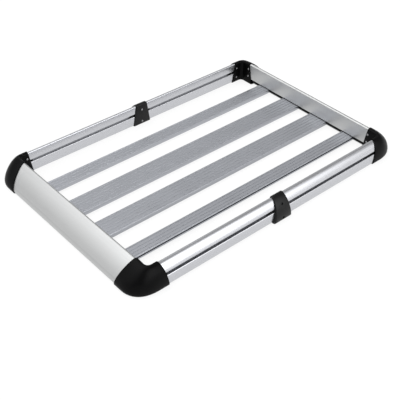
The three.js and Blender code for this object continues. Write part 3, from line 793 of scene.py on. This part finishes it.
def strip_mesh():
    """A comb behind a fairing's inner wall: a bar over the slats, and teeth between them."""
    low, high = box_mm("strip_front")
    spans = []
    start = low.y
    for node in ("outer_right", "inner_right", "inner_left", "outer_left"):
        slat_low, slat_high = box_mm(f"slat_{node}")
        spans.append((start, slat_low.y - FIT_GAP))
        start = slat_high.y + FIT_GAP
    spans.append((start, high.y))
    outline = []
    for start, end in spans:
        outline += [(start, STRIP_BAR_FOOT), (start, low.z), (end, low.z), (end, STRIP_BAR_FOOT)]
    outline = [Vector(p) for p in outline[1:-1]] + [Vector((high.y, high.z)), Vector((low.y, high.z))]
    bm = bmesh.new()
    middle = (low.x + high.x) / 2
    extrude(bm, outline, [], lambda y, z, x: (middle + x, y, z), (high.x - low.x) / 2)
    return finish_mesh("strip", bm)


def add_strips(finish):
    mesh = strip_mesh()
    for end, sign in ENDS.items():
        node = f"strip_{end}"
        add_piece(f"{node}_look", mirrored(mesh, node, sign, 1), finish, node)


def add_rails():
    finish = aluminium("rail_aluminium", (0.44, 0.445, 0.465), 0.24, "x", 0.03)
    tubes = {
        "lower": tube_mesh(lower_low.z, lower_high.z),
        "upper": tube_mesh(upper_low.z, upper_high.z),
    }
    for level, mesh in tubes.items():
        for side, sign in SIDES.items():
            node = f"rail_{level}_{side}"
            add_piece(f"{node}_look", mirrored(mesh, node, 1, sign), finish, node)


def add_slats():
    finish = aluminium("slat_aluminium", (0.335, 0.345, 0.37), 0.34, "x", 0.05)
    for kind in GROOVES:
        mesh = slat_mesh(kind)
        for side, sign in SIDES.items():
            node = f"slat_{kind}_{side}"
            add_piece(f"{node}_look", mirrored(mesh, node, 1, sign), finish, node)


def add_mouldings():
    elbow_finish = moulded_plastic("elbow_plastic", 0.06)
    bracket_finish = moulded_plastic("bracket_plastic", 0.22)
    add_strips(elbow_finish)
    elbow, bracket = elbow_mesh(), bracket_mesh()
    for side, sign_y in SIDES.items():
        node = f"bracket_{side}"
        mesh = mirrored(bracket, node, 1, sign_y)
        add_piece(f"{node}_look", mesh, bracket_finish, node)
        for end, sign_x in ENDS.items():
            node = f"elbow_{end}_{side}"
            mesh = mirrored(elbow, node, sign_x, sign_y)
            add_piece(f"{node}_look", mesh, elbow_finish, node)


def headwards(node):
    """Direction from a screw's shank to its head, from the name of its CAD node."""
    words = node.split("_")
    if "slat" in words:
        return Vector((0, 0, -1))
    side = SIDES["left" if "left" in words else "right"]
    if "fairing" in words:
        return Vector((-ENDS["front" if "front" in words else "rear"], 0, 0))
    return Vector((0, side if "outer" in words else -side, 0))


def add_screws():
    zinc = screw_steel("screw_zinc", (0.30, 0.30, 0.31))
    # Near-black steel for the screws sunk in the bracket's counterbores: painted shade, standing in for
    # the shade deep in those recesses.
    painted_shade_black = screw_steel("screw_painted_shade", (0.02, 0.02, 0.021))
    pan, low_pan = screw_mesh(PAN), screw_mesh(LOW_PAN)
    screws = [name for name in sorted(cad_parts) if name.startswith("screw_")]
    for count, node in enumerate(screws):
        low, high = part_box(node)
        kind, mesh = (LOW_PAN, low_pan) if "slat" in node else (PAN, pan)
        direction = headwards(node)
        reach = (high - low).dot(Vector(map(abs, direction))) / 2
        seat = (low + high) / 2 + direction * (reach - kind["height"] * MM)
        turn = Matrix.Rotation(count * SCREW_TURN, 4, "Z")
        matrix = Matrix.Translation(seat) @ direction.to_track_quat("Z", "Y").to_matrix().to_4x4() @ turn
        # The screws in the bracket's counterbores take the near-black steel: painted shade of the
        # recess.
        if "bracket_outer" in node:
            mesh, finish = mesh.copy(), painted_shade_black
        else:
            finish = zinc
        add_piece(f"{node}_look", mesh, finish, node, matrix)


# ---- Studio: lengths in metres ----------------------------------------------------------------

FLOOR_RADIUS = 400
FLOOR_GAP = 0.0005               # between the floor and the basket's lowest faces
FLOOR_SHADE = 0.15
FLOOR_GLOW = 0.84
CAMERA_PLACE = (-1.6007, -1.7815, 1.7562)
CAMERA_TURN = (51.21, -0.83, -41.13)  # degrees about x, y and z
CAMERA_LENS = 70.58              # millimetres
CAMERA_REACH = 1000


def add_floor():
    """Pale light-table floor: mostly its own glow, so that shadows stay faint."""
    bm = bmesh.new()
    bmesh.ops.create_circle(bm, cap_ends=True, segments=96, radius=FLOOR_RADIUS)
    mesh = bpy.data.meshes.new("floor")
    bm.to_mesh(mesh)
    bm.free()
    floor = bpy.data.objects.new("floor", mesh)
    floor.location.z = cad_box[0].z - FLOOR_GAP
    bpy.context.scene.collection.objects.link(floor)
    material = bpy.data.materials.new("floor")
    material.use_nodes = True
    surface = material.node_tree.nodes["Principled BSDF"]
    surface.inputs["Base Color"].default_value = (FLOOR_SHADE, FLOOR_SHADE, FLOOR_SHADE, 1)
    surface.inputs["Roughness"].default_value = 0.9
    surface.inputs["Specular IOR Level"].default_value = 0.0
    surface.inputs["Emission Color"].default_value = (1, 1, 1, 1)
    surface.inputs["Emission Strength"].default_value = FLOOR_GLOW
    mesh.materials.append(material)


# Soft panels round the basket: azimuth and elevation of the middle in degrees, then the angles from it
# at which the panel starts to fade and has faded out, and its radiance.
PANELS = {
    "behind": (48, 38, 18, 40, 0.18),
    "right": (-81, 20, 14, 41, 2.8),
    "left": (125, 70, 5, 42, 2.2),
    "end": (158, 34, 8, 39, 1.25),
}
ROOM_RADIANCE = 0.5


def sky_direction(azimuth, elevation):
    a, e = math.radians(azimuth), math.radians(elevation)
    return Vector((math.cos(a) * math.cos(e), math.sin(a) * math.cos(e), math.sin(e)))


def add_world():
    """A dark room with soft bright panels, mirrored by the metal."""
    world = bpy.data.worlds.new("studio")
    world.use_nodes = True
    tree = world.node_tree
    total = tree.nodes.new("ShaderNodeValue").outputs[0]
    total.default_value = ROOM_RADIANCE
    direction = tree.nodes.new("ShaderNodeTexCoord").outputs["Generated"]
    for azimuth, elevation, fade_start, fade_end, radiance in PANELS.values():
        closeness = tree.nodes.new("ShaderNodeVectorMath")
        closeness.operation = "DOT_PRODUCT"
        closeness.inputs[1].default_value = sky_direction(azimuth, elevation)
        tree.links.new(direction, closeness.inputs[0])
        panel = tree.nodes.new("ShaderNodeMapRange")
        panel.interpolation_type = "SMOOTHSTEP"
        panel.inputs["From Min"].default_value = math.cos(math.radians(fade_end))
        panel.inputs["From Max"].default_value = math.cos(math.radians(fade_start))
        panel.inputs["To Max"].default_value = radiance
        tree.links.new(closeness.outputs["Value"], panel.inputs["Value"])
        add = tree.nodes.new("ShaderNodeMath")
        add.operation = "ADD"
        tree.links.new(total, add.inputs[0])
        tree.links.new(panel.outputs["Result"], add.inputs[1])
        total = add.outputs[0]
    tree.links.new(total, tree.nodes["Background"].inputs["Strength"])
    tree.nodes["Background"].inputs["Color"].default_value = (1, 1, 1, 1)
    bpy.context.scene.world = world


def add_camera():
    camera = bpy.data.cameras.new("camera")
    camera.lens = CAMERA_LENS
    camera.sensor_width = 36
    camera.clip_end = CAMERA_REACH
    holder = bpy.data.objects.new("camera", camera)
    holder.location = CAMERA_PLACE
    holder.rotation_euler = Euler([math.radians(angle) for angle in CAMERA_TURN])
    bpy.context.scene.collection.objects.link(holder)
    bpy.context.scene.camera = holder


def add_studio():
    add_floor()
    add_world()
    add_camera()
    settings = bpy.context.scene.view_settings
    settings.view_transform = "Standard"


add_fairings()
add_rails()
add_slats()
add_mouldings()
add_screws()
add_studio()
